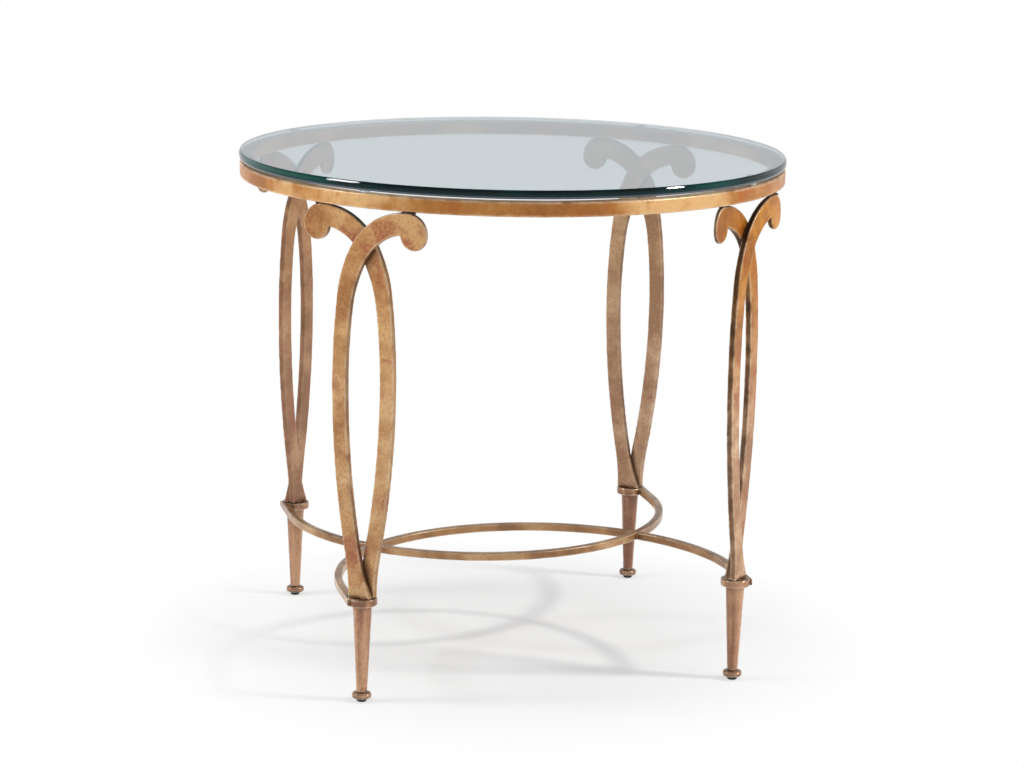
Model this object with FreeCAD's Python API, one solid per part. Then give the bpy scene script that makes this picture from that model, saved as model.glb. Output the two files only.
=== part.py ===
import FreeCAD, Part
import math
import os
from FreeCAD import Vector

# Round lamp table: a loose glass disc on a wrought-iron stand.
# Millimetres, +Z up, the floor at Z 0 and the table's axis on Z.
# The stand is square to X and Y: its four legs are on the diagonals.

# Overall size and the glass
table_height = 609.6
glass_diameter = 660.4
glass_thickness = 10.0
glass_edge_radius = 3.6

# Apron ring, a hoop of heavy bar under the rim of the glass
glass_overhang = 1.1
ring_width = 16.0
ring_height = 17.5
ring_edge_radius = 1.2

# Clear bumpers between the ring and the glass
bumper_diameter = 12.0
bumper_height = 2.8
bumper_edge_radius = 0.8

# Feet: glide, bun, tapered stub and collar, from the floor up
glide_diameter = 11.5
glide_height = 4.0
glide_edge_radius = 1.2
glide_stem_diameter = 6.0
glide_stem_length = 3.0
bun_diameter = 23.0
bun_height = 7.0
bun_edge_radius = 2.8
stub_length = 105.1
stub_top_diameter = 22.5
stub_bottom_diameter = 12.5
lower_spigot_diameter = 7.0
lower_spigot_length = 3.0
upper_spigot_diameter = 13.0
spigot_end_gap = 1.0
spigot_clearance = 0.1
collar_diameter = 35.0
collar_thickness = 9.5
collar_edge_radius = 1.8

# Crooks, the flat scrolled bars that lap in pairs to make each leg
crook_thickness = 8.0
crook_edge_chamfer = 0.9
crown_outset = 3.5
belly_reach = 39.4
belly_drop = 202.3
belly_width = 19.0
arch_width = 24.8
shoulder_start_angle = 7.2
shoulder_end_angle = 30.5
outer_shoulder_radius = 148.0
inner_shoulder_radius = 152.0
outer_arch_radius = 84.2
inner_arch_radius = 66.6
crown_radius = 24.1
crown_turn = 103.0
scroll_radius = 16.3
cusp_radius = 1.2
foot_corner_inset = 0.3
foot_outer_radius = 266.0
foot_flare_height = 37.1

# A crook's scroll end is hammered thin and set in towards the lap
scroll_bend_start = 20.0
scroll_tip_thickness = 4.4

# Stretchers, two square bars bent into a U that cross under the table
stretcher_width = 9.5
stretcher_height = 9.5
stretcher_edge_radius = 1.0
stretcher_offset = 13.8
stretcher_past_centre = 68.3
stretcher_past_leg = 6.0

# Welds
scroll_weld_gap = 0.6
scroll_weld_half_length = 8.0
scroll_weld_depth = 6.0
foot_weld_radius = 2.2
corner_weld_radius = 2.6
corner_weld_drop = 1.0

# Levels and radii that follow from the sizes above
bun_bottom = glide_height
bun_top = bun_bottom + bun_height
collar_bottom = bun_top + stub_length
collar_top = collar_bottom + collar_thickness
glass_bottom = table_height - glass_thickness
ring_top = glass_bottom - bumper_height
ring_bottom = ring_top - ring_height
crook_top = ring_bottom - scroll_weld_gap
belly_level = crook_top - belly_drop
belly_rise = belly_level - collar_top
stretcher_bottom = collar_top - stretcher_height

glass_radius = glass_diameter / 2
ring_outer_radius = glass_radius - glass_overhang
ring_inner_radius = ring_outer_radius - ring_width
ring_middle_radius = ring_outer_radius - ring_width / 2
collar_radius = collar_diameter / 2
foot_half_width = math.sqrt((collar_radius - foot_corner_inset) ** 2 - crook_thickness ** 2)

leg_azimuths = {"front_right": -45, "front_left": -135, "back_left": 135, "back_right": 45}
up = Vector(0, 0, 1)
origin = Vector(0, 0, 0)


def plane_point(across, height):
    return Vector(across, 0, height)


def toward(angle):
    turn = math.radians(angle)
    return plane_point(math.cos(turn), math.sin(turn))


def arc_edge(center, start, end, turn):
    # Arc in the XZ plane; turn is 1 for counter-clockwise with X right and Z up, else -1
    first = math.atan2(start.z - center.z, start.x - center.x)
    last = math.atan2(end.z - center.z, end.x - center.x)
    sweep = turn * ((turn * (last - first)) % (2 * math.pi))
    middle = center + toward(math.degrees(first + sweep / 2)) * (start - center).Length
    return Part.Arc(start, middle, end).toShape()


def circle_meeting(center_a, radius_a, center_b, radius_b, side):
    # One of the two points where circles in the XZ plane meet; side 1 is left of the way from a to b
    span = (center_b - center_a).Length
    ahead = (center_b - center_a) * (1 / span)
    left = plane_point(-ahead.z, ahead.x)
    along = (span ** 2 + radius_a ** 2 - radius_b ** 2) / (2 * span)
    return center_a + ahead * along + left * (side * math.sqrt(radius_a ** 2 - along ** 2))


def turned(corners):
    # Solid of revolution about Z from (radius, height, rounding) corners
    points = [plane_point(radius, height) for radius, height, rounding in corners]
    ways_in = []
    ways_out = []
    edges = []
    for index, (radius, height, rounding) in enumerate(corners):
        corner = points[index]
        back = (points[index - 1] - corner).normalize()
        ahead = (points[(index + 1) % len(points)] - corner).normalize()
        half_angle = back.getAngle(ahead) / 2
        setback = rounding / math.tan(half_angle)
        ways_in.append(corner + back * setback)
        ways_out.append(corner + ahead * setback)
        if rounding > 0:
            bisector = (back + ahead).normalize()
            nearest = rounding / math.sin(half_angle) - rounding
            edges.append(Part.Arc(ways_in[-1], corner + bisector * nearest, ways_out[-1]).toShape())
    for index in range(len(points)):
        edges.append(Part.LineSegment(ways_out[index - 1], ways_in[index]).toShape())
    outline = Part.Wire(Part.__sortEdges__(edges))
    return Part.Face(outline).revolve(origin, up, 360)


def at_leg(shape, azimuth):
    # Pieces of a leg are drawn for a leg on -Y, facing -Y, and turned to their azimuth
    placed = shape.copy()
    placed.rotate(origin, up, azimuth + 90)
    return placed


def rising_edge(apex, crown_height, shoulder_radius, arch_radius):
    # Centres and joints of the three tangent arcs from a belly's widest point up to a crown
    start_way = toward(180 - shoulder_start_angle)
    end_way = toward(180 - shoulder_end_angle)
    above_belly = crown_height - apex.z - arch_radius - (shoulder_radius - arch_radius) * end_way.z
    belly_radius = above_belly / start_way.z + shoulder_radius
    belly_center = apex + plane_point(belly_radius, 0)
    shoulder_center = belly_center + start_way * (belly_radius - shoulder_radius)
    arch_center = shoulder_center + end_way * (shoulder_radius - arch_radius)
    return {
        "belly_center": belly_center,
        "shoulder_center": shoulder_center,
        "arch_center": arch_center,
        "shoulder_start": belly_center + start_way * belly_radius,
        "shoulder_end": shoulder_center + end_way * shoulder_radius,
        "crown": arch_center + plane_point(0, arch_radius),
    }


outer_apex = plane_point(-belly_reach, belly_level)
inner_apex = plane_point(-belly_reach + belly_width, belly_level)
outer_rise = rising_edge(outer_apex, crook_top, outer_shoulder_radius, outer_arch_radius)
inner_rise = rising_edge(inner_apex, crook_top - arch_width, inner_shoulder_radius, inner_arch_radius)

# The plane where a leg's two crooks lap, set by the ring above the scrolls' crowns
crown_across = outer_rise["crown"].x
lap_radius = math.sqrt((ring_middle_radius + crown_outset) ** 2 - crown_across ** 2)
leg_offset = lap_radius * math.sqrt(0.5)

# The scroll's centre and the point where the crown's curve runs into it
crown_center = outer_rise["crown"] - plane_point(0, crown_radius)
scroll_way = toward(90 - crown_turn)
scroll_center = crown_center + scroll_way * (crown_radius - scroll_radius)
scroll_joint = crown_center + scroll_way * crown_radius
cusp = circle_meeting(inner_rise["arch_center"], inner_arch_radius, scroll_center, scroll_radius, 1)


def crook_outline():
    # Outer crook seen from outside, its belly on the left and its scroll on the right
    outer_foot = plane_point(-foot_half_width, collar_top)
    inner_foot = plane_point(foot_half_width, collar_top)
    step_in = belly_reach - foot_half_width
    lower_radius = (step_in ** 2 + belly_rise ** 2) / (2 * step_in) - foot_outer_radius
    lower_center = outer_apex + plane_point(lower_radius, 0)
    foot_center = outer_foot - plane_point(foot_outer_radius, 0)
    foot_joint = foot_center + (lower_center - foot_center).normalize() * foot_outer_radius
    inner_lower_radius = lower_radius - belly_width
    flare_drop = belly_rise - foot_flare_height
    flare_across = math.sqrt(inner_lower_radius ** 2 - flare_drop ** 2)
    flare_joint = lower_center - plane_point(flare_across, flare_drop)
    flare_way = (lower_center - flare_joint).normalize()
    flare_chord = inner_foot - flare_joint
    flare_radius = flare_chord.Length ** 2 / (2 * flare_chord.dot(flare_way))
    flare_center = flare_joint + flare_way * flare_radius
    outer, inner = outer_rise, inner_rise
    crown = outer["crown"]
    edges = [
        arc_edge(foot_center, outer_foot, foot_joint, 1),
        arc_edge(lower_center, foot_joint, outer_apex, -1),
        arc_edge(outer["belly_center"], outer_apex, outer["shoulder_start"], -1),
        arc_edge(outer["shoulder_center"], outer["shoulder_start"], outer["shoulder_end"], -1),
        arc_edge(outer["arch_center"], outer["shoulder_end"], crown, -1),
        arc_edge(crown_center, crown, scroll_joint, -1),
        arc_edge(scroll_center, scroll_joint, cusp, -1),
        arc_edge(inner["arch_center"], cusp, inner["shoulder_end"], 1),
        arc_edge(inner["shoulder_center"], inner["shoulder_end"], inner["shoulder_start"], 1),
        arc_edge(inner["belly_center"], inner["shoulder_start"], inner_apex, 1),
        arc_edge(lower_center, inner_apex, flare_joint, 1),
        arc_edge(flare_center, flare_joint, inner_foot, math.copysign(1, flare_radius)),
        Part.LineSegment(inner_foot, outer_foot).toShape(),
    ]
    return Part.Wire(edges)


def lies_on(edge, height):
    return all(abs(vertex.Z - height) < 1e-6 for vertex in edge.Vertexes)


def bend_arc(face_depth, tip_depth):
    # A face of the scroll end in plan: an arc that leaves the flat face and runs just past the tip
    run = scroll_center.x + scroll_radius - scroll_bend_start
    drop = tip_depth - face_depth
    radius = (run ** 2 + drop ** 2) / (2 * drop)
    points = []
    for reach in (0, run / 2, run + crook_thickness):
        inward = radius - math.sqrt(radius ** 2 - reach ** 2)
        points.append(Vector(scroll_bend_start + reach, face_depth + inward, 0))
    return points


def crook_sheet():
    # The bar's thickness in plan: flat from the lap plane outwards, thin and set in at the scroll
    back = bend_arc(0, scroll_tip_thickness / 2)
    front = bend_arc(-crook_thickness, -scroll_tip_thickness / 2)
    back_start = Vector(-2 * belly_reach, 0, 0)
    front_start = Vector(-2 * belly_reach, -crook_thickness, 0)
    edges = [
        Part.LineSegment(back_start, back[0]).toShape(),
        Part.Arc(*back).toShape(),
        Part.LineSegment(back[-1], front[-1]).toShape(),
        Part.Arc(*front).toShape(),
        Part.LineSegment(front[0], front_start).toShape(),
        Part.LineSegment(front_start, back_start).toShape(),
    ]
    outline = Part.Wire(Part.__sortEdges__(edges))
    return Part.Face(outline).extrude(Vector(0, 0, table_height))


def crook_blank():
    # The outline cut through the sheet, with its cusp eased
    outline = Part.Face(crook_outline())
    outline.translate(Vector(0, crook_thickness, 0))
    slab = outline.extrude(Vector(0, -3 * crook_thickness, 0))
    cusp_edges = []
    for edge in slab.Edges:
        if all(math.hypot(v.X - cusp.x, v.Z - cusp.z) < 1e-6 for v in edge.Vertexes):
            cusp_edges.append(edge)
    return slab.makeFillet(cusp_radius, cusp_edges).common(crook_sheet())


def crook():
    # The blank with the long edges of its two faces chamfered; the foot's edges stay square
    blank = crook_blank()
    rims = {}
    for face in blank.Faces:
        low_u, high_u, low_v, high_v = face.ParameterRange
        if abs(face.normalAt((low_u + high_u) / 2, (low_v + high_v) / 2).y) > 0.7:
            for edge in face.Edges:
                rims.setdefault(edge.hashCode(), []).append(edge)
    long_edges = []
    for found in rims.values():
        if len(found) == 1 and not lies_on(found[0], collar_top):
            long_edges.append(found[0])
    return blank.makeChamfer(crook_edge_chamfer, long_edges)


def outer_crook(shape):
    placed = shape.copy()
    placed.translate(Vector(0, -lap_radius, 0))
    return placed


def inner_crook(shape):
    # The same piece turned half round on the leg's own axis
    return outer_crook(half_turn(shape))


def glass_top():
    return turned([
        (0, glass_bottom, 0),
        (glass_radius, glass_bottom, glass_edge_radius),
        (glass_radius, table_height, glass_edge_radius),
        (0, table_height, 0),
    ])


def apron_ring():
    return turned([
        (ring_inner_radius, ring_bottom, ring_edge_radius),
        (ring_outer_radius, ring_bottom, ring_edge_radius),
        (ring_outer_radius, ring_top, ring_edge_radius),
        (ring_inner_radius, ring_top, ring_edge_radius),
    ])


def bumper():
    radius = bumper_diameter / 2
    disc = turned([
        (0, ring_top, 0),
        (radius, ring_top, 0),
        (radius, glass_bottom, bumper_edge_radius),
        (0, glass_bottom, 0),
    ])
    disc.translate(Vector(0, -ring_middle_radius, 0))
    return disc


def collar():
    bore = upper_spigot_diameter / 2 + spigot_clearance
    disc = turned([
        (bore, collar_bottom, 0),
        (collar_radius, collar_bottom, collar_edge_radius),
        (collar_radius, collar_top, collar_edge_radius),
        (bore, collar_top, 0),
    ])
    disc.translate(Vector(0, -lap_radius, 0))
    return disc


def stub():
    upper_spigot = upper_spigot_diameter / 2
    lower_spigot = lower_spigot_diameter / 2
    pin = turned([
        (0, bun_top - lower_spigot_length, 0),
        (lower_spigot, bun_top - lower_spigot_length, 0),
        (lower_spigot, bun_top, 0),
        (stub_bottom_diameter / 2, bun_top, 0),
        (stub_top_diameter / 2, collar_bottom, 0),
        (upper_spigot, collar_bottom, 0),
        (upper_spigot, collar_top - spigot_end_gap, 0),
        (0, collar_top - spigot_end_gap, 0),
    ])
    pin.translate(Vector(0, -lap_radius, 0))
    return pin


def bun():
    upper_bore = lower_spigot_diameter / 2 + spigot_clearance
    lower_bore = glide_stem_diameter / 2 + spigot_clearance
    bore_step = bun_bottom + glide_stem_length + spigot_end_gap / 2
    foot = turned([
        (lower_bore, bun_bottom, 0),
        (bun_diameter / 2, bun_bottom, bun_edge_radius),
        (bun_diameter / 2, bun_top, bun_edge_radius),
        (upper_bore, bun_top, 0),
        (upper_bore, bore_step, 0),
        (lower_bore, bore_step, 0),
    ])
    foot.translate(Vector(0, -lap_radius, 0))
    return foot


def glide():
    stem = glide_stem_diameter / 2
    button = turned([
        (0, 0, 0),
        (glide_diameter / 2, 0, glide_edge_radius),
        (glide_diameter / 2, glide_height, 0),
        (stem, glide_height, 0),
        (stem, glide_height + glide_stem_length, 0),
        (0, glide_height + glide_stem_length, 0),
    ])
    button.translate(Vector(0, -lap_radius, 0))
    return button


def stretcher_bar(rounding):
    # The front U: open towards -Y, its round end reaching past the table's axis
    half_span = leg_offset + stretcher_offset
    bend_y = stretcher_past_centre - half_span
    end_y = -leg_offset - stretcher_past_leg
    sides = []
    for radius in (half_span + stretcher_width / 2, half_span - stretcher_width / 2):
        left_end = Vector(-radius, end_y, stretcher_bottom)
        left_bend = Vector(-radius, bend_y, stretcher_bottom)
        middle = Vector(0, bend_y + radius, stretcher_bottom)
        right_bend = Vector(radius, bend_y, stretcher_bottom)
        right_end = Vector(radius, end_y, stretcher_bottom)
        sides.append([left_end, left_bend, middle, right_bend, right_end])
    edges = []
    for left_end, left_bend, middle, right_bend, right_end in sides:
        edges.append(Part.LineSegment(left_end, left_bend).toShape())
        edges.append(Part.Arc(left_bend, middle, right_bend).toShape())
        edges.append(Part.LineSegment(right_bend, right_end).toShape())
    for end in (0, -1):
        edges.append(Part.LineSegment(sides[0][end], sides[1][end]).toShape())
    outline = Part.Wire(Part.__sortEdges__(edges))
    bar = Part.Face(outline).extrude(Vector(0, 0, stretcher_height))
    if rounding == 0:
        return bar
    long_edges = []
    for edge in bar.Edges:
        level = len({round(v.Z, 6) for v in edge.Vertexes}) == 1
        at_end = all(abs(v.Y - end_y) < 1e-6 for v in edge.Vertexes)
        if level and not at_end:
            long_edges.append(edge)
    return bar.makeFillet(rounding, long_edges)


def half_turn(shape):
    placed = shape.copy()
    placed.rotate(origin, up, 180)
    return placed


def upright(radius, x, y):
    return Part.makeCylinder(radius, stretcher_height, Vector(x, y, stretcher_bottom))


def clear_of_collars(bar):
    # Bar ends are coped to the collars that they are welded to
    coped = bar
    for azimuth in leg_azimuths.values():
        rim = upright(collar_radius, 0, -lap_radius)
        coped = coped.cut(at_leg(rim, azimuth))
    return coped


def stretchers():
    # The back U runs through; the front U butts against its sides in three lengths
    half_span = leg_offset + stretcher_offset
    back_bend_y = half_span - stretcher_past_centre
    inside = upright(half_span - stretcher_width / 2, 0, back_bend_y)
    outside = upright(half_span + stretcher_width / 2, 0, back_bend_y)
    rounded = stretcher_bar(stretcher_edge_radius)
    front = clear_of_collars(rounded)
    pieces = {"back_stretcher": clear_of_collars(half_turn(rounded))}
    pieces["front_stretcher_middle"] = front.common(inside)
    for end in front.cut(outside).Solids:
        side = "left" if end.CenterOfMass.x < 0 else "right"
        pieces["front_stretcher_" + side + "_end"] = end
    return pieces


def scroll_weld():
    # Fills the wedge between a scroll's crown and the underside of the ring
    fill = Part.makeBox(2 * scroll_weld_half_length, 2 * crook_thickness, scroll_weld_depth,
                        Vector(crown_across - scroll_weld_half_length, -crook_thickness,
                               ring_bottom - scroll_weld_depth))
    return fill.common(crook_sheet()).cut(crook_blank())


def foot_weld():
    # Bead in the corner between a crook's face and the top of the collar
    reach = crook_thickness + foot_weld_radius
    flat_radius = collar_radius - collar_edge_radius
    half_length = math.sqrt(flat_radius ** 2 - reach ** 2) - foot_weld_radius
    face_y = -lap_radius - crook_thickness
    start = Vector(-half_length, face_y, collar_top)
    bead = Part.makeCylinder(foot_weld_radius, 2 * half_length, start, Vector(1, 0, 0))
    for side in (-1, 1):
        bead = bead.fuse(Part.makeSphere(foot_weld_radius, Vector(side * half_length, face_y, collar_top)))
    length = 2 * (half_length + foot_weld_radius)
    corner = Part.makeBox(length, foot_weld_radius, foot_weld_radius,
                          Vector(-length / 2, face_y - foot_weld_radius, collar_top))
    return bead.common(corner).removeSplitter()


def corner_weld(x, y):
    height = stretcher_height - 2 * corner_weld_drop
    return Part.makeCylinder(corner_weld_radius, height, Vector(x, y, stretcher_bottom + corner_weld_drop))


def crossing_welds():
    # Beads in the four corners of each crossing
    bars = [stretcher_bar(0), half_turn(stretcher_bar(0))]
    half_span = leg_offset + stretcher_offset
    bend = half_span - stretcher_past_centre
    welds = []
    for front_side in (-1, 1):
        for back_side in (-1, 1):
            front_radius = half_span + front_side * stretcher_width / 2
            back_radius = half_span + back_side * stretcher_width / 2
            y = (front_radius ** 2 - back_radius ** 2) / (4 * bend)
            x = math.sqrt(front_radius ** 2 - (y + bend) ** 2)
            for side in (-1, 1):
                welds.append(corner_weld(side * x, y).cut(bars[0]).cut(bars[1]))
    return welds


def end_welds():
    # Beads where a bar's end face and its inner face leave the collar's rim
    bar = stretcher_bar(0)
    inner_across = stretcher_offset - stretcher_width / 2
    inner_along = math.sqrt(collar_radius ** 2 - inner_across ** 2)
    end_across = math.sqrt(collar_radius ** 2 - stretcher_past_leg ** 2)
    welds = []
    for side in (-1, 1):
        rim = upright(collar_radius, side * leg_offset, -leg_offset)
        for across, along in ((inner_across, inner_along), (end_across, -stretcher_past_leg)):
            bead = corner_weld(side * (leg_offset + across), along - leg_offset)
            welds.append(bead.cut(bar).cut(rim))
    return welds + [half_turn(weld) for weld in welds]


def build():
    pieces = {"glass_top": glass_top(), "apron_ring": apron_ring()}
    pieces.update(stretchers())
    bar = crook()
    crown_fill = scroll_weld()
    bead = foot_weld()
    leg_pieces = {
        "outer_crook": outer_crook(bar),
        "inner_crook": inner_crook(bar),
        "collar": collar(),
        "leg_stub": stub(),
        "bun_foot": bun(),
        "glide": glide(),
        "bumper": bumper(),
    }
    leg_welds = {
        "scroll_welds": [outer_crook(crown_fill), inner_crook(crown_fill)],
        "crook_foot_welds": [bead, bead.mirror(Vector(0, -lap_radius, 0), Vector(0, 1, 0))],
    }
    weld_groups = {"crossing_welds": crossing_welds(), "stretcher_end_welds": end_welds()}
    for leg, azimuth in leg_azimuths.items():
        for name, shape in leg_pieces.items():
            pieces[leg + "_" + name] = at_leg(shape, azimuth)
        for name, shapes in leg_welds.items():
            weld_groups.setdefault(name, []).extend(at_leg(shape, azimuth) for shape in shapes)
    for name, shapes in weld_groups.items():
        pieces[name] = Part.makeCompound([solid for shape in shapes for solid in shape.Solids])
    return pieces


os.makedirs("parts", exist_ok=True)
for name, shape in build().items():
    shape.exportStep("parts/" + name + ".step")
    print(name, len(shape.Solids), "solids", shape.isValid(), round(shape.Volume), "mm3")
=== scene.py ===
import bpy
import bmesh
import math
from mathutils import Matrix, Vector


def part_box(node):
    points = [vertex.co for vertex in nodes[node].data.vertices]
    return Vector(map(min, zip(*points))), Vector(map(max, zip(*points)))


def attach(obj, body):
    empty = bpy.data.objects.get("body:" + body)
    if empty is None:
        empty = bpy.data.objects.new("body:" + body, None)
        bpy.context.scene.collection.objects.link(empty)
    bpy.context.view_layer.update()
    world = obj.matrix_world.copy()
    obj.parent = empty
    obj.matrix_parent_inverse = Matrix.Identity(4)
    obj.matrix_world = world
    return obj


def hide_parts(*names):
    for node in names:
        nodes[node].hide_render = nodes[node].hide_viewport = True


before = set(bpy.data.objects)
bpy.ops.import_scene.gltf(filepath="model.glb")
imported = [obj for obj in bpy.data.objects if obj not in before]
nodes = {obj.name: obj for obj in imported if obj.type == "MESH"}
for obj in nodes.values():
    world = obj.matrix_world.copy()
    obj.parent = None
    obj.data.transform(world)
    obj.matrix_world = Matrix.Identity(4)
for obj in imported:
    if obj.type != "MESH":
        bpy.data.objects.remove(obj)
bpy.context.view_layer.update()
print("frame loaded:", len(nodes), "nodes")


# the glass disc, with its ground and polished edge

glassShape = {
    "steps": 224,
    "landDrop": 0.0030,     # height and depth of the slanted lands, above and below
    "landInset": 0.0017,
    "arris": 0.0008,
    "arrisSteps": 4,
    "flatMargin": 0.0006,   # narrow outer ring that keeps each flat face flat in the light
}


def addPiece(name, shape, body):
    mesh = bpy.data.meshes.new(name)
    shape.to_mesh(mesh)
    shape.free()
    piece = bpy.data.objects.new(name, mesh)
    bpy.context.scene.collection.objects.link(piece)
    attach(piece, body)
    return piece


def flatFaces(shape):
    nearlyUpright = 0.999
    return [face for face in shape.faces if abs(face.normal.z) > nearlyUpright]


def levelEdges(shape):
    slack = 1e-6
    return [edge for edge in shape.edges if abs(edge.verts[0].co.z - edge.verts[1].co.z) < slack]


def glassPiece():
    look = glassShape
    low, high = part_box("glass_top")
    radius = (high[0] - low[0]) / 2
    shape = bmesh.new()
    bmesh.ops.create_cone(shape, cap_ends=True, segments=look["steps"], radius1=radius, radius2=radius,
                          depth=high[2] - low[2] - 2 * look["landDrop"],
                          matrix=Matrix.Translation((0, 0, (low[2] + high[2]) / 2)))
    bmesh.ops.inset_individual(shape, faces=flatFaces(shape), thickness=look["landInset"],
                               depth=look["landDrop"])
    bmesh.ops.bevel(shape, geom=levelEdges(shape), affect="EDGES", offset=look["arris"],
                    segments=look["arrisSteps"], profile=0.5, material=-1)
    bmesh.ops.inset_individual(shape, faces=flatFaces(shape), thickness=look["flatMargin"])
    for face in shape.faces:
        face.smooth = True
    piece = addPiece("glassDisc", shape, "glass")
    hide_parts("glass_top")
    return piece


# hand-forged iron: each bar, foot and weld with softened edges and an uneven, hammered skin
# voxel: grain of the skin; hammer and marks: depth and breadth of the blows; middle: under 0.5 it swells

forging = {
    "crook": {"voxel": 0.0011, "smooth": 2, "hammer": 0.0005, "marks": 0.012, "middle": 0.5},
    "ring": {"voxel": 0.0015, "smooth": 2, "hammer": 0.0003, "marks": 0.03, "middle": 0.5},
    "stretcher": {"voxel": 0.0010, "smooth": 3, "hammer": 0.0003, "marks": 0.03, "middle": 0.5},
    "collar": {"voxel": 0.0008, "smooth": 4, "hammer": 0.0006, "marks": 0.007, "middle": 0.5},
    "stub": {"voxel": 0.0009, "smooth": 6, "hammer": 0.0005, "marks": 0.01, "middle": 0.5},
    "foot": {"voxel": 0.0007, "smooth": 4, "hammer": 0.0004, "marks": 0.006, "middle": 0.5},
    "welds": {"voxel": 0.0006, "smooth": 8, "hammer": 0.0022, "marks": 0.0035, "middle": 0.35},
}
mergeReach = 1e-5


def forgedPiece(name, kind):
    look = forging[kind]
    shape = bmesh.new()
    shape.from_mesh(nodes[name].data)
    bmesh.ops.remove_doubles(shape, verts=shape.verts, dist=mergeReach)
    piece = addPiece(name + "_forged", shape, "stand")
    skin = piece.modifiers.new("skin", "REMESH")
    skin.mode = "VOXEL"
    skin.voxel_size = look["voxel"]
    soften = piece.modifiers.new("soften", "SMOOTH")
    soften.iterations = look["smooth"]
    marks = bpy.data.textures.new(name + "Marks", "CLOUDS")
    marks.noise_scale = look["marks"]
    hammer = piece.modifiers.new("hammer", "DISPLACE")
    hammer.texture = marks
    hammer.texture_coords = "LOCAL"
    hammer.strength = look["hammer"]
    hammer.mid_level = look["middle"]
    graph = bpy.context.evaluated_depsgraph_get()
    finished = bpy.data.meshes.new_from_object(piece.evaluated_get(graph))
    piece.modifiers.clear()
    piece.data = finished
    finished.name = piece.name
    finished.shade_smooth()
    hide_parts(name)
    return piece


def forgingKind(name):
    for kind in forging:
        if kind in name.split("_"):
            return kind
    return None


skins = {"glass_top": glassPiece()}
for name in nodes:
    kind = forgingKind(name)
    if kind:
        skins[name] = forgedPiece(name, kind)
faceCount = sum(len(skin.data.polygons) for skin in skins.values())
print("pieces modelled:", len(skins), "with", faceCount, "faces")


# shader helpers

def tone(red, green, blue):
    # screen colour 0-255 to a linear colour
    linear = []
    for part in (red, green, blue):
        part /= 255
        linear.append(part / 12.92 if part <= 0.04045 else ((part + 0.055) / 1.055) ** 2.4)
    return (*linear, 1.0)


def newMaterial(name):
    material = bpy.data.materials.new(name)
    material.use_nodes = True
    material.node_tree.nodes.clear()
    return material


def put(tree, kind, inputs=None, **settings):
    node = tree.nodes.new(kind)
    for key, value in settings.items():
        setattr(node, key, value)
    for key, value in (inputs or {}).items():
        if isinstance(value, bpy.types.NodeSocket):
            tree.links.new(value, node.inputs[key])
        else:
            node.inputs[key].default_value = value
    return node


def calc(tree, operation, first, second=0.0):
    return put(tree, "ShaderNodeMath", {0: first, 1: second}, operation=operation).outputs[0]


def product(tree, first, second):
    return calc(tree, "MULTIPLY", first, second)


def dot(tree, first, second):
    return put(tree, "ShaderNodeVectorMath", {0: first, 1: second}, operation="DOT_PRODUCT").outputs["Value"]


def upPart(tree, vector):
    return put(tree, "ShaderNodeSeparateXYZ", {0: vector}).outputs[2]


def spread(tree, value, low, high, toLow=0.0, toHigh=1.0):
    return put(tree, "ShaderNodeMapRange", {"Value": value, "From Min": low, "From Max": high,
                                            "To Min": toLow, "To Max": toHigh}).outputs[0]


def layer(tree, factor, under, over, mode="MIX"):
    return put(tree, "ShaderNodeMix", {0: factor, 6: under, 7: over},
               data_type="RGBA", blend_type=mode).outputs[2]


def cloud(tree, coords, scale, detail=3.0, roughness=0.55, distortion=0.0):
    return put(tree, "ShaderNodeTexNoise", {"Vector": coords, "Scale": scale, "Detail": detail,
                                            "Roughness": roughness, "Distortion": distortion}).outputs["Fac"]


def shifted(tree, coords, offset):
    return put(tree, "ShaderNodeMapping", {"Vector": coords, "Location": offset}).outputs[0]


def spots(tree, coords, scale, size, share):
    # round spots in a share of the cells of a random lattice
    cells = put(tree, "ShaderNodeTexVoronoi", {"Vector": coords, "Scale": scale})
    lot = put(tree, "ShaderNodeSeparateColor", {0: cells.outputs["Color"]}).outputs[0]
    disc = spread(tree, cells.outputs["Distance"], size, size * 0.5)
    return product(tree, disc, calc(tree, "LESS_THAN", lot, share))


# antique gilding on iron: gold glaze over red-brown, rubbed bright on the edges, with painted highlights on
# the edges and painted shade on tops, sides and crevices

gilding = {
    # umber: the colour of the pits, and of the painted shade
    "umberAndShade": tone(58, 40, 28),
    "nearBlack": tone(26, 18, 13),
    # bright metal rubbed through, also the colour of the painted edge highlights and of the flecks
    "rubbedAndHighlight": tone(246, 220, 188),
    "mottleScale": 50,
    "grainScale": 330,
    "glazeSteps": (0.42, 0.5, 0.59),    # deep, gold and pale along the blend
    "patchScale": 24,                   # red-brown patches, and how they are broken up
    "patchFade": 0.12,
    "patchBroken": (0.3, 0.95),
    "redTop": (0.48, 0.54),             # levels in metres between which a tint or shade comes in
    "warmTop": (0.3, 0.5),
    "sideRise": (0.15, 0.45),
    "underRingTop": (0.46, 0.52),
    "darkSpeckle": 0.65,
    "paleSpeckle": 0.5,
    "pits": {"scale": 280, "size": 0.28, "share": 0.08},
    "pitShade": 0.35,
    "flecks": {"scale": 160, "size": 0.22, "share": 0.03},
    "fleckShine": 0.7,
    "underRingShare": 0.9,
    "creviceReach": 0.022,
    "edgeRange": (0.51, 0.56),
    "bumpDepth": 0.0004,
    "bumpStrength": 0.6,
    "grainHeight": 0.2,
    "pitDepth": 0.4,
    "roughSwing": 0.07,
}
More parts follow.
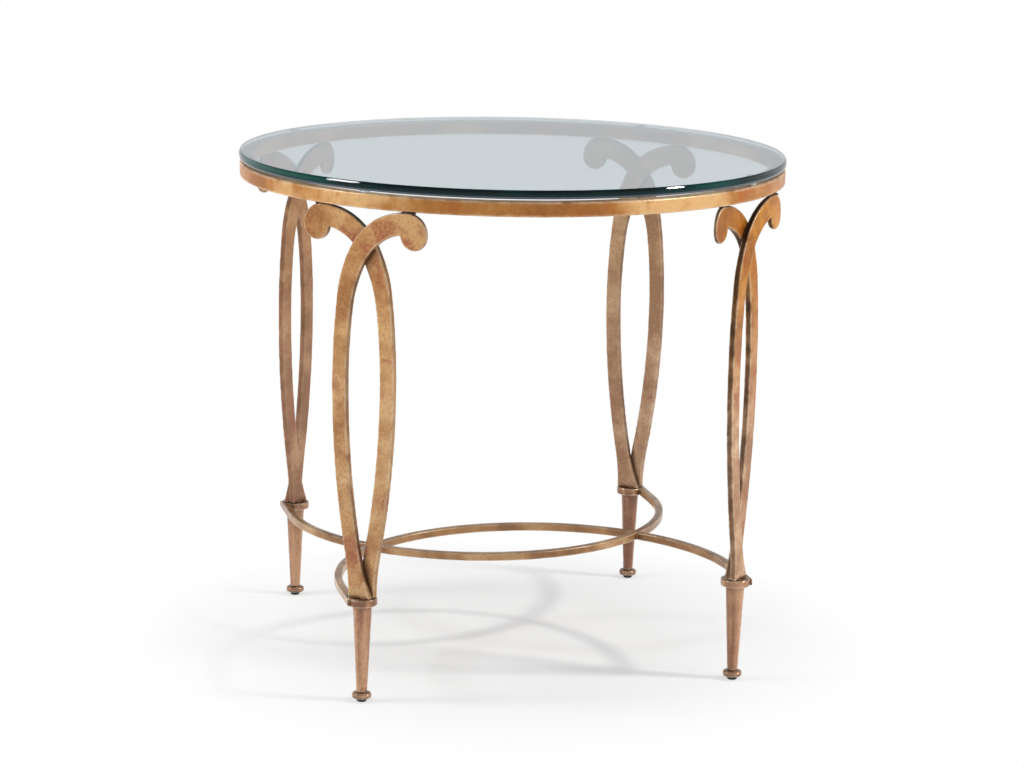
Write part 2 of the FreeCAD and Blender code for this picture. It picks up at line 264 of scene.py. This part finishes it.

# deep, gold, pale: the glaze; red: the undercoat; warm: tint of the upper part; paintedTopShade: painted
# shade on what looks up
# sides, lowSides: painted shade on a flat bar's narrow sides; creviceGlazeAndShade: brown glaze and painted
# shade in crevices; edges: how far they are rubbed bright, also painting their highlights
noTint = tone(255, 255, 255)
palettes = {
    "ring": {
        "deep": tone(158, 101, 50), "gold": tone(180, 122, 62), "pale": tone(216, 172, 118),
        "red": tone(172, 92, 40), "redFrom": 0.57, "topRed": 0.0, "warm": noTint,
        "paintedTopShade": 0.2, "sides": 0.0, "lowSides": 0.0, "creviceGlazeAndShade": 0.2, "edges": 0.8,
        "patch": 9, "streak": 1.0, "mottle": 0.2, "speckle": 0.3,
        "metallic": 0.3, "specular": 0.1, "rough": 0.34, "coat": 0.1, "coatRough": 0.14,
    },
    # each leg has its own copy of the gilding, lighter or darker, warmer or cooler, to stand in for how
    # light falls on that leg: painted light and shade, along with the gilding's own unevenness
    "frontLeft": {
        "deep": tone(160, 114, 72), "gold": tone(186, 142, 96), "pale": tone(208, 170, 124),
        "red": tone(156, 90, 66), "redFrom": 0.54, "topRed": 0.03, "warm": tone(255, 246, 228),
        "paintedTopShade": 0.4, "sides": 0.5, "lowSides": 0.6, "creviceGlazeAndShade": 0.95, "edges": 0.8,
        "patch": 13, "streak": 1.0, "mottle": 0.3, "speckle": 0.9,
        "metallic": 0.25, "specular": 0.2, "rough": 0.4, "coat": 0.12, "coatRough": 0.14,
    },
    "frontRight": {
        "deep": tone(156, 118, 90), "gold": tone(180, 142, 110), "pale": tone(206, 172, 140),
        "red": tone(158, 98, 70), "redFrom": 0.54, "topRed": 0.0, "warm": tone(244, 198, 84),
        "paintedTopShade": 0.4, "sides": 0.9, "lowSides": 0.6, "creviceGlazeAndShade": 0.95, "edges": 0.8,
        "patch": 19, "streak": 0.7, "mottle": 0.4, "speckle": 0.6,
        "metallic": 0.3, "specular": 0.1, "rough": 0.34, "coat": 0.05, "coatRough": 0.14,
    },
    "backLeft": {
        "deep": tone(146, 106, 78), "gold": tone(168, 124, 92), "pale": tone(190, 148, 114),
        "red": tone(158, 100, 76), "redFrom": 0.53, "topRed": 0.0, "warm": tone(255, 248, 230),
        "paintedTopShade": 0.4, "sides": 0.5, "lowSides": 0.7, "creviceGlazeAndShade": 0.95, "edges": 0.3,
        "patch": 13, "streak": 1.0, "mottle": 0.4, "speckle": 0.7,
        "metallic": 0.25, "specular": 0.2, "rough": 0.4, "coat": 0.12, "coatRough": 0.14,
    },
    "backRight": {
        "deep": tone(162, 124, 94), "gold": tone(184, 146, 114), "pale": tone(202, 168, 136),
        "red": tone(150, 98, 76), "redFrom": 0.57, "topRed": 0.0, "warm": tone(255, 248, 236),
        "paintedTopShade": 0.4, "sides": 0.55, "lowSides": 0.6, "creviceGlazeAndShade": 0.95, "edges": 0.4,
        "patch": 13, "streak": 1.0, "mottle": 0.4, "speckle": 0.8,
        "metallic": 0.25, "specular": 0.2, "rough": 0.4, "coat": 0.12, "coatRough": 0.14,
    },
    "stretcher": {
        "deep": tone(140, 100, 64), "gold": tone(166, 124, 82), "pale": tone(190, 152, 108),
        "red": tone(138, 84, 56), "redFrom": 0.6, "topRed": 0.0, "warm": noTint,
        "paintedTopShade": 0.15, "sides": 0.0, "lowSides": 0.0, "creviceGlazeAndShade": 0.9, "edges": 0.7,
        "patch": 14, "streak": 1.0, "mottle": 0.12, "speckle": 0.25,
        "metallic": 0.35, "specular": 0.3, "rough": 0.3, "coat": 0.35, "coatRough": 0.12,
    },
    "foot": {
        "deep": tone(124, 82, 58), "gold": tone(160, 114, 82), "pale": tone(192, 148, 112),
        "red": tone(138, 80, 58), "redFrom": 0.6, "topRed": 0.0, "warm": noTint,
        "paintedTopShade": 0.25, "sides": 0.0, "lowSides": 0.0, "creviceGlazeAndShade": 0.95, "edges": 1.0,
        "patch": 60, "streak": 0.06, "mottle": 0.2, "speckle": 0.6,
        "metallic": 0.4, "specular": 0.3, "rough": 0.26, "coat": 0.6, "coatRough": 0.08,
    },
}
# the ring is paler and darker in lengths, which paints the reflections along it: azimuth, half its angle,
# and how much paler it comes out
ringReflectionLengths = [(-148, 15, 0.08), (-108, 26, -0.03), (-74, 20, 0.14), (-46, 12, -0.05),
               (20, 24, 0.08), (75, 28, -0.03), (140, 26, 0.08)]


def giltFields(tree):
    # what every layer of the gilding reads
    look = gilding
    coords = put(tree, "ShaderNodeTexCoord").outputs["Object"]
    geometry = put(tree, "ShaderNodeNewGeometry")
    return {
        "coords": coords,
        "normal": geometry.outputs["Normal"],
        "pointiness": geometry.outputs["Pointiness"],
        "level": upPart(tree, coords),
        "up": upPart(tree, geometry.outputs["Normal"]),
        "mottle": cloud(tree, coords, look["mottleScale"], 5, 0.6),
        "grain": cloud(tree, coords, look["grainScale"], 3, 0.65),
    }


def glazeBlend(tree, fields, tints):
    drawn = put(tree, "ShaderNodeMapping", {"Vector": fields["coords"], "Scale": (1, 1, tints["streak"])})
    broad = cloud(tree, drawn.outputs[0], tints["patch"], 3, 0.5)
    share = tints["mottle"]
    return calc(tree, "ADD", product(tree, broad, 1 - share), product(tree, fields["mottle"], share))


def inLengths(tree, fields, blend):
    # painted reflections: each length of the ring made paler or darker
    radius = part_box("apron_ring")[1][0]
    for azimuth, half, paler in ringReflectionLengths:
        way = (math.cos(math.radians(azimuth)), math.sin(math.radians(azimuth)), 0)
        along = dot(tree, fields["coords"], way)
        length = spread(tree, along, radius * math.cos(math.radians(half)), radius, 0.0, paler)
        blend = calc(tree, "ADD", blend, length)
    return blend


def glaze(tree, blend, tints):
    deepTo, goldAt, paleFrom = gilding["glazeSteps"]
    colour = layer(tree, spread(tree, blend, deepTo, goldAt), tints["deep"], tints["gold"])
    return layer(tree, spread(tree, blend, goldAt, paleFrom), colour, tints["pale"])


def undercoat(tree, fields, tints, colour):
    # red-brown showing through in broken patches
    look = gilding
    patches = cloud(tree, shifted(tree, fields["coords"], (3.1, 1.7, 0.4)), look["patchScale"], 3, 0.6, 0.5)
    ragged = product(tree, calc(tree, "SUBTRACT", fields["mottle"], 0.5), 0.5)
    patches = calc(tree, "ADD", patches, ragged)
    higher = spread(tree, fields["level"], *look["redTop"], 0.0, tints["topRed"])
    patches = calc(tree, "ADD", patches, higher)
    broken = cloud(tree, shifted(tree, fields["coords"], (0.3, 5.2, 2.2)), look["grainScale"], 4, 0.75)
    patches = spread(tree, patches, tints["redFrom"], tints["redFrom"] + look["patchFade"])
    redness = product(tree, patches, spread(tree, broken, 0.38, 0.58, *look["patchBroken"]))
    return layer(tree, redness, colour, tints["red"])


def speckled(tree, fields, tints, pits, colour):
    # fine specks darker and paler than the glaze, the warm tint of the top, pits and bright flecks
    look = gilding
    speckle = tints["speckle"]
    dark = spread(tree, fields["grain"], 0.49, 0.33, 0.0, look["darkSpeckle"] * speckle)
    colour = layer(tree, dark, colour, tints["red"])
    pale = spread(tree, fields["grain"], 0.55, 0.7, 0.0, look["paleSpeckle"] * speckle)
    colour = layer(tree, pale, colour, tints["pale"])
    colour = layer(tree, spread(tree, fields["level"], *look["warmTop"]), colour, tints["warm"], "MULTIPLY")
    colour = layer(tree, product(tree, pits, look["pitShade"] * speckle), colour, look["umberAndShade"])
    flecks = spots(tree, shifted(tree, fields["coords"], (1.3, 0.2, 4.1)), **look["flecks"])
    return layer(tree, product(tree, flecks, look["fleckShine"] * speckle), colour, look["rubbedAndHighlight"])


def paintedSideShade(tree, fields, tints, faceWay, colour):
    # painted shade on the narrow sides of a flat bar, near-black on their up-facing parts close under the
    # ring
    look = gilding
    facing = calc(tree, "ABSOLUTE", dot(tree, fields["normal"], faceWay))
    onSide = spread(tree, facing, 0.8, 0.45)
    paintedShadeStreaks = spread(tree, fields["mottle"], 0.35, 0.65, tints["sides"], tints["sides"] * 0.6)
    rising = spread(tree, fields["level"], *look["sideRise"], tints["lowSides"], 1.0)
    paintedShadeStreaks = product(tree, onSide, product(tree, paintedShadeStreaks, rising))
    colour = layer(tree, paintedShadeStreaks, colour, look["umberAndShade"])
    # near-black on up-facing narrow sides close under the ring
    high = product(tree, onSide, spread(tree, fields["level"], *look["underRingTop"]))
    underRingDark = product(tree, high, spread(tree, fields["up"], 0.3, 0.6, 0.0, look["underRingShare"]))
    return layer(tree, underRingDark, colour, look["nearBlack"])


def wearAndPaintedLight(tree, fields, tints, colour):
    # brown glaze left in the crevices, deepened there into painted shade; bright metal rubbed through on the
    # edges, which also paints their highlights
    look = gilding
    # painted shade where the surface is occluded, over the brown glaze of the crevices
    crevice = put(tree, "ShaderNodeAmbientOcclusion", {"Distance": look["creviceReach"]}, samples=6)
    creviceGlazeAndShade = spread(tree, crevice.outputs["AO"], 0.8, 0.4, 0.0, tints["creviceGlazeAndShade"])
    colour = layer(tree, creviceGlazeAndShade, colour, look["umberAndShade"])
    # edges rubbed bright, which also paints their highlights
    edge = spread(tree, fields["pointiness"], *look["edgeRange"])
    patchy = spread(tree, fields["mottle"], 0.36, 0.56, tints["edges"] * 0.2, tints["edges"])
    return layer(tree, product(tree, edge, patchy), colour, look["rubbedAndHighlight"])


def giltMaterial(name, palette, faceWay=(0, 0, 1)):
    look = gilding
    tints = palettes[palette]
    material = newMaterial(name)
    tree = material.node_tree
    fields = giltFields(tree)
    pits = spots(tree, fields["coords"], **look["pits"])
    blend = glazeBlend(tree, fields, tints)
    # the ring's painted reflections, length by length
    if palette == "ring":
        blend = inLengths(tree, fields, blend)
    colour = glaze(tree, blend, tints)
    colour = undercoat(tree, fields, tints, colour)
    colour = speckled(tree, fields, tints, pits, colour)
    # painted shade on surfaces that look up
    topShade = spread(tree, fields["up"], 0.15, 0.75, 0.0, tints["paintedTopShade"])
    colour = layer(tree, topShade, colour, look["umberAndShade"])
    # painted shade on the narrow sides of the crooks
    if tints["sides"] > 0:
        colour = paintedSideShade(tree, fields, tints, faceWay, colour)
    # painted shade in crevices and painted highlights on edges, along with the wear
    colour = wearAndPaintedLight(tree, fields, tints, colour)

    height = calc(tree, "ADD", product(tree, fields["grain"], look["grainHeight"]), fields["mottle"])
    height = calc(tree, "SUBTRACT", height, product(tree, pits, look["pitDepth"]))
    relief = put(tree, "ShaderNodeBump", {"Height": height, "Strength": look["bumpStrength"],
                                          "Distance": look["bumpDepth"]})
    swing = look["roughSwing"]
    roughness = spread(tree, blend, 0.35, 0.65, tints["rough"] + swing, tints["rough"] - swing)
    shader = put(tree, "ShaderNodeBsdfPrincipled", {"Base Color": colour, "Metallic": tints["metallic"],
                                                    "Roughness": roughness, "Coat Weight": tints["coat"],
                                                    "Specular IOR Level": tints["specular"],
                                                    "Coat Roughness": tints["coatRough"],
                                                    "Normal": relief.outputs[0]})
    put(tree, "ShaderNodeOutputMaterial", {"Surface": shader.outputs[0]})
    return material


# clear glass, dark green along its polished edge

glassLook = {
    "ior": 1.52,
    "absorption": (0.27, 0.42, 0.43, 1.0),
    "density": 44.0,
    "lampTint": (0.84, 0.9, 0.9, 1.0),
    "smearRough": 0.03,
    "rimBlack": tone(6, 26, 26),
    "rimTeal": tone(8, 74, 64),
    "rimSlateReflection": tone(16, 48, 54),
    "rimGreyReflection": tone(88, 98, 104),
    "rimShare": 0.9,
    "rimPolish": (0.03, 0.09),
    "edgeSpecular": 0.12,
    "landSpecular": 0.6,
    "landFrom": (0.66, 0.72),       # share of the thickness where the upper land begins
}


def rimShader(tree, coords, smear):
    # the rim from outside: black-green, teal where the light runs round inside, with a painted reflection of
    # the floor below in slate and grey
    look = glassLook
    low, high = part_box("glass_top")
    depth = spread(tree, upPart(tree, coords), low[2], high[2])
    runs = cloud(tree, coords, 5, 2)
    colour = layer(tree, spread(tree, runs, 0.45, 0.6), look["rimBlack"], look["rimTeal"])
    # painted reflection of the floor on the lower part of the rim
    colour = layer(tree, spread(tree, depth, 0.6, 0.4, 0.0, 0.8), colour, look["rimSlateReflection"])
    colour = layer(tree, spread(tree, depth, 0.3, 0.22), colour, look["rimGreyReflection"])
    polish = spread(tree, smear, 0.4, 0.7, *look["rimPolish"])
    edge = put(tree, "ShaderNodeBsdfPrincipled", {"Base Color": colour, "Roughness": polish,
                                                  "Specular IOR Level": look["edgeSpecular"]})
    land = put(tree, "ShaderNodeBsdfPrincipled", {"Base Color": colour, "Roughness": polish,
                                                  "Specular IOR Level": look["landSpecular"]})
    onLand = spread(tree, depth, *look["landFrom"])
    return put(tree, "ShaderNodeMixShader", {0: onLand, 1: edge.outputs[0], 2: land.outputs[0]}).outputs[0]


def glassMaterial():
    look = glassLook
    material = newMaterial("clearGlass")
    tree = material.node_tree
    coords = put(tree, "ShaderNodeTexCoord").outputs["Object"]
    geometry = put(tree, "ShaderNodeNewGeometry")
    smear = cloud(tree, coords, 6, 4, 0.6, 0.8)
    roughness = spread(tree, smear, 0.45, 0.75, 0.0, look["smearRough"])
    clear = put(tree, "ShaderNodeBsdfPrincipled", {"Base Color": (1, 1, 1, 1), "IOR": look["ior"],
                                                   "Transmission Weight": 1.0, "Roughness": roughness})
    up = upPart(tree, geometry.outputs["Normal"])
    onRim = spread(tree, calc(tree, "ABSOLUTE", up), 0.9, 0.7, 0.0, look["rimShare"])
    onRim = product(tree, onRim, calc(tree, "SUBTRACT", 1.0, geometry.outputs["Backfacing"]))
    rim = rimShader(tree, coords, smear)
    body = put(tree, "ShaderNodeMixShader", {0: onRim, 1: clear.outputs[0], 2: rim})
    # lamplight passes straight through, so the floor keeps a light shadow
    lamplight = put(tree, "ShaderNodeBsdfTransparent", {"Color": look["lampTint"]})
    path = put(tree, "ShaderNodeLightPath")
    surface = put(tree, "ShaderNodeMixShader", {0: path.outputs["Is Shadow Ray"], 1: body.outputs[0],
                                                2: lamplight.outputs[0]})
    inside = put(tree, "ShaderNodeVolumeAbsorption", {"Color": look["absorption"],
                                                      "Density": look["density"]})
    put(tree, "ShaderNodeOutputMaterial", {"Surface": surface.outputs[0], "Volume": inside.outputs[0]})
    return material


# soft clear plastic of the bumpers

bumperLook = {
    "colour": tone(232, 236, 236),
    "ior": 1.45,
    "clear": 0.7,
    "hazeScale": 300,
    "rough": (0.15, 0.3),
}


def bumperMaterial():
    look = bumperLook
    material = newMaterial("clearBumper")
    tree = material.node_tree
    coords = put(tree, "ShaderNodeTexCoord").outputs["Object"]
    haze = cloud(tree, coords, look["hazeScale"], 3)
    roughness = spread(tree, haze, 0.3, 0.7, *look["rough"])
    shader = put(tree, "ShaderNodeBsdfPrincipled", {"Base Color": look["colour"], "IOR": look["ior"],
                                                    "Transmission Weight": look["clear"],
                                                    "Roughness": roughness})
    put(tree, "ShaderNodeOutputMaterial", {"Surface": shader.outputs[0]})
    return material


# scuffed black plastic of the glides

glideLook = {
    "black": tone(26, 24, 23),
    "scuff": tone(74, 70, 66),
    "scuffScale": 260,
    "scuffShare": 0.6,
    "rough": (0.4, 0.65),
    "bumpDepth": 0.0002,
    "bumpStrength": 0.5,
}


def glideMaterial():
    look = glideLook
    material = newMaterial("blackGlide")
    tree = material.node_tree
    coords = put(tree, "ShaderNodeTexCoord").outputs["Object"]
    scuffs = cloud(tree, coords, look["scuffScale"], 5, 0.7)
    scuffed = spread(tree, scuffs, 0.55, 0.75, 0.0, look["scuffShare"])
    colour = layer(tree, scuffed, look["black"], look["scuff"])
    relief = put(tree, "ShaderNodeBump", {"Height": scuffs, "Strength": look["bumpStrength"],
                                          "Distance": look["bumpDepth"]})
    roughness = spread(tree, scuffs, 0.3, 0.7, *look["rough"])
    shader = put(tree, "ShaderNodeBsdfPrincipled", {"Base Color": colour, "Normal": relief.outputs[0],
                                                    "Roughness": roughness})
    put(tree, "ShaderNodeOutputMaterial", {"Surface": shader.outputs[0]})
    return material


# weld beads: gilded over at the feet and stretchers, left dark under the ring

weldLooks = {
    "giltWeld": {
        "dark": tone(92, 60, 40), "body": tone(158, 112, 76), "spatter": tone(236, 200, 156), "share": 0.2,
    },
    "darkWeld": {
        "dark": tone(44, 30, 21), "body": tone(98, 68, 44), "spatter": tone(186, 146, 104), "share": 0.1,
    },
}
weldSkin = {
    "lumpScale": 240,
    "grainScale": 800,
    "grainHeight": 0.3,
    "spatterScale": 420,
    "spatterSize": 0.3,
    "spatterShine": 0.8,
    "bumpDepth": 0.0012,
    "bumpStrength": 0.8,
    "metallic": 0.3,
    "rough": (0.4, 0.65),
}


def weldMaterial(name):
    look = weldLooks[name]
    skin = weldSkin
    material = newMaterial(name)
    tree = material.node_tree
    coords = put(tree, "ShaderNodeTexCoord").outputs["Object"]
    lumps = cloud(tree, coords, skin["lumpScale"], 4, 0.6)
    grain = cloud(tree, coords, skin["grainScale"], 3, 0.7)
    colour = layer(tree, spread(tree, lumps, 0.42, 0.6), look["dark"], look["body"])
    spatter = spots(tree, coords, skin["spatterScale"], skin["spatterSize"], look["share"])
    colour = layer(tree, product(tree, spatter, skin["spatterShine"]), colour, look["spatter"])
    height = calc(tree, "ADD", lumps, product(tree, grain, skin["grainHeight"]))
    relief = put(tree, "ShaderNodeBump", {"Height": height, "Strength": skin["bumpStrength"],
                                          "Distance": skin["bumpDepth"]})
    roughness = spread(tree, grain, 0.3, 0.7, *skin["rough"])
    shader = put(tree, "ShaderNodeBsdfPrincipled", {"Base Color": colour, "Metallic": skin["metallic"],
                                                    "Roughness": roughness, "Normal": relief.outputs[0]})
    put(tree, "ShaderNodeOutputMaterial", {"Surface": shader.outputs[0]})
    return material


# finishes onto the nodes

finishes = {
    "ring": giltMaterial("giltRing", "ring"),
    "stretcher": giltMaterial("giltStretcher", "stretcher"),
    "foot": giltMaterial("giltFoot", "foot"),
    "glass": glassMaterial(),
    "bumper": bumperMaterial(),
    "glide": glideMaterial(),
    "giltWeld": weldMaterial("giltWeld"),
    "darkWeld": weldMaterial("darkWeld"),
}
diagonal = math.sqrt(0.5)
crookFinish = {
    "front_right": giltMaterial("giltFrontRight", "frontRight", (diagonal, -diagonal, 0)),
    "front_left": giltMaterial("giltFrontLeft", "frontLeft", (diagonal, diagonal, 0)),
    "back_left": giltMaterial("giltBackLeft", "backLeft", (diagonal, -diagonal, 0)),
    "back_right": giltMaterial("giltBackRight", "backRight", (diagonal, diagonal, 0)),
}


def finishFor(name):
    if name == "glass_top":
        return finishes["glass"]
    if name == "apron_ring":
        return finishes["ring"]
    if name == "scroll_welds":
        return finishes["darkWeld"]
    if name.endswith("welds"):
        return finishes["giltWeld"]
    for ending in ("bumper", "glide"):
        if name.endswith(ending):
            return finishes[ending]
    if name.endswith("crook"):
        return crookFinish[name.rsplit("_", 2)[0]]
    if "stretcher" in name:
        return finishes["stretcher"]
    return finishes["foot"]     # collars, stubs and bun feet


for name, node in nodes.items():
    for slot in node.material_slots:
        slot.material = finishFor(name)
    if name in skins:
        skins[name].data.materials.clear()
        skins[name].data.materials.append(finishFor(name))
print("finishes set")


# the camera's place, as seen from the front of the view

view = {
    "turn": 13.513,         # degrees from the stand's own front to the view's
    "across": -0.0336,
    "distance": 3.584,
    "height": 1.0924,
    "heading": 0.602,
    "tilt": 12.150,
    "roll": 1.054,
    "lens": 104.87,
    "sensor": 36.0,
}
toPart = Matrix.Rotation(-math.radians(view["turn"]), 4, "Z")


# pale studio floor, white all round and keeping the soft shadows

studio = {
    "floorSize": 40.0,
    "floorColour": (0.86, 0.87, 0.88, 1.0),
    "whiten": 0.22,         # share of plain white in what is seen near the table
    "fadeFrom": 0.2,
    "fadeTo": 0.46,
    "ambient": 0.42,
    "white": (1.0, 1.0, 1.0, 1.0),
    "backdrop": (0.74, 0.78, 0.82, 1.0),    # what the glass and the gilt mirror, low down and overhead
    "zenith": (0.1, 0.105, 0.11, 1.0),
    "backdropTop": (0.2, 0.5),
}


def seenRays(tree):
    path = put(tree, "ShaderNodeLightPath")
    seen = calc(tree, "ADD", path.outputs["Is Camera Ray"], path.outputs["Is Glossy Ray"])
    seen = calc(tree, "ADD", seen, path.outputs["Is Transmission Ray"])
    return calc(tree, "MINIMUM", seen, 1.0)


def floorPiece():
    look = studio
    floorMesh = bpy.data.meshes.new("studioFloor")
    shape = bmesh.new()
    bmesh.ops.create_grid(shape, x_segments=1, y_segments=1, size=look["floorSize"] / 2)
    shape.to_mesh(floorMesh)
    shape.free()
    floor = bpy.data.objects.new("studioFloor", floorMesh)
    bpy.context.scene.collection.objects.link(floor)
    material = newMaterial("studioFloor")
    tree = material.node_tree
    coords = put(tree, "ShaderNodeTexCoord").outputs["Object"]
    away = put(tree, "ShaderNodeVectorMath", {0: coords}, operation="LENGTH").outputs["Value"]
    white = spread(tree, away, look["fadeFrom"], look["fadeTo"], look["whiten"], 1.0)
    lit = put(tree, "ShaderNodeBsdfDiffuse", {"Color": look["floorColour"]})
    plain = put(tree, "ShaderNodeEmission", {"Color": look["white"], "Strength": 1.0})
    factor = product(tree, white, seenRays(tree))
    surface = put(tree, "ShaderNodeMixShader", {0: factor, 1: lit.outputs[0], 2: plain.outputs[0]})
    put(tree, "ShaderNodeOutputMaterial", {"Surface": surface.outputs[0]})
    floorMesh.materials.append(material)


def studioWorld():
    look = studio
    world = bpy.data.worlds.new("studio")
    bpy.context.scene.world = world
    world.use_nodes = True
    tree = world.node_tree
    tree.nodes.clear()
    path = put(tree, "ShaderNodeLightPath")
    rise = upPart(tree, put(tree, "ShaderNodeTexCoord").outputs["Generated"])
    mirrored = layer(tree, spread(tree, rise, *look["backdropTop"]), look["backdrop"], look["zenith"])
    colour = layer(tree, path.outputs["Is Glossy Ray"], look["white"], mirrored)
    backdrop = put(tree, "ShaderNodeBackground", {"Color": colour, "Strength": 1.0})
    ambient = put(tree, "ShaderNodeBackground", {"Color": look["white"], "Strength": look["ambient"]})
    surface = put(tree, "ShaderNodeMixShader", {0: seenRays(tree), 1: ambient.outputs[0],
                                                2: backdrop.outputs[0]})
    put(tree, "ShaderNodeOutputWorld", {"Surface": surface.outputs[0]})


floorPiece()
studioWorld()
print("studio set")


# lamps: azimuth and rise in degrees from the aim, and whether glass and gilt mirror the lamp itself

lamps = {
    "keyLamp": {"azimuth": -10, "rise": 38.5, "far": 8.0, "size": 1.0, "level": 0.5,
                "colour": (1.0, 0.98, 0.95), "mirrored": True},
    "fillLamp": {"azimuth": 188, "rise": 38, "far": 4.0, "size": 0.95, "level": 0.26,
                 "colour": (0.97, 0.98, 1.0), "mirrored": True},
    "leftBox": {"azimuth": -165, "rise": 9, "far": 2.2, "size": 1.1, "level": 0.33,
                "colour": (1.0, 0.98, 0.96), "mirrored": False},
    "rightBox": {"azimuth": -29, "rise": 9, "far": 2.2, "size": 1.1, "level": 0.26,
                 "colour": (1.0, 0.98, 0.96), "mirrored": False},
}
lampAim = Vector((0, 0, 0.35))


def lampPiece(name, look):
    azimuth = math.radians(look["azimuth"])
    rise = math.radians(look["rise"])
    way = Vector((math.cos(azimuth) * math.cos(rise), math.sin(azimuth) * math.cos(rise), math.sin(rise)))
    way = toPart.to_3x3() @ way
    light = bpy.data.lights.new(name, "AREA")
    light.shape = "DISK"
    light.size = look["size"]
    light.color = look["colour"]
    light.energy = math.pi ** 2 * look["far"] ** 2 * look["level"]
    lamp = bpy.data.objects.new(name, light)
    bpy.context.scene.collection.objects.link(lamp)
    lamp.location = lampAim + way * look["far"]
    lamp.rotation_euler = way.to_track_quat("Z", "Y").to_euler()
    lamp.visible_camera = False
    lamp.visible_transmission = False
    lamp.visible_glossy = look["mirrored"]


def cameraPiece():
    cameraData = bpy.data.cameras.new("viewCamera")
    cameraData.sensor_width = view["sensor"]
    cameraData.lens = view["lens"]
    camera = bpy.data.objects.new("viewCamera", cameraData)
    bpy.context.scene.collection.objects.link(camera)
    place = Matrix.Translation((view["across"], -view["distance"], view["height"]))
    heading = Matrix.Rotation(-math.radians(view["heading"]), 4, "Z")
    tilt = Matrix.Rotation(math.radians(90 - view["tilt"]), 4, "X")
    roll = Matrix.Rotation(math.radians(view["roll"]), 4, "Z")
    camera.matrix_world = toPart @ place @ heading @ tilt @ roll
    bpy.context.scene.camera = camera


for name, look in lamps.items():
    lampPiece(name, look)
cameraPiece()
bpy.context.scene.view_settings.view_transform = "Standard"
print("lamps and camera set")
